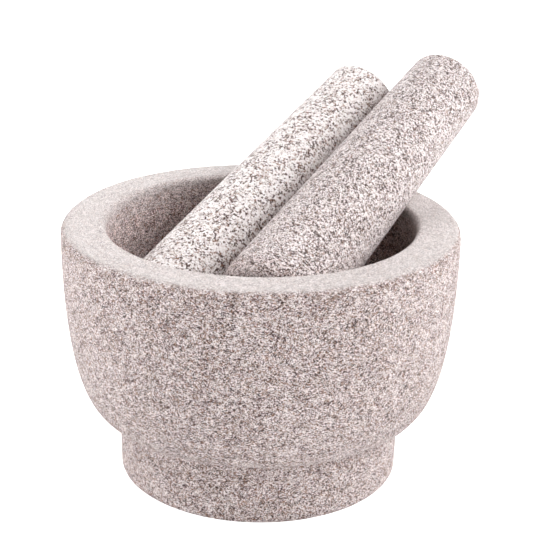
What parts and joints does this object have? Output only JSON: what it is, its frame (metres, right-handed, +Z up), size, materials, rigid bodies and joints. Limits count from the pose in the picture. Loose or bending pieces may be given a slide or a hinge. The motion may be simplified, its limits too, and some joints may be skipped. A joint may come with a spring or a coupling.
{
  "type": "molcajete",
  "caption": "Turned granite molcajete: a footed mortar with a broad flat rim and round-bottomed bowl, and tapered pestles leaning across it.",
  "frame": {"origin": "centre of the foot's flat resting face", "axes": "+Z up through the bowl, -Y towards the front, where the pestles' grinding ends lie, +X to the right"},
  "size_m": [0.2165, 0.213, 0.1987],
  "materials": {
    "mortar_granite": "fine-picked matt pinkish grey granite",
    "pale_granite": "ground matt pale granite with distinct dark specks",
    "grey_granite": "ground matt grey granite with dense fine specks"
  },
  "bodies": {
    "mortar": {"mortar": "mortar_granite"},
    "pestle_left": {"pestle_left": "pale_granite"},
    "pestle_right": {"pestle_right": "grey_granite"}
  },
  "joints": [
    {"name": "lift_left", "type": "slide", "parent": "mortar", "child": "pestle_left", "axis": [0, 0, 1], "range_m": [0, 0.15]},
    {"name": "lift_right", "type": "slide", "parent": "mortar", "child": "pestle_right", "axis": [0, 0, 1], "range_m": [0, 0.15]}
  ]
}
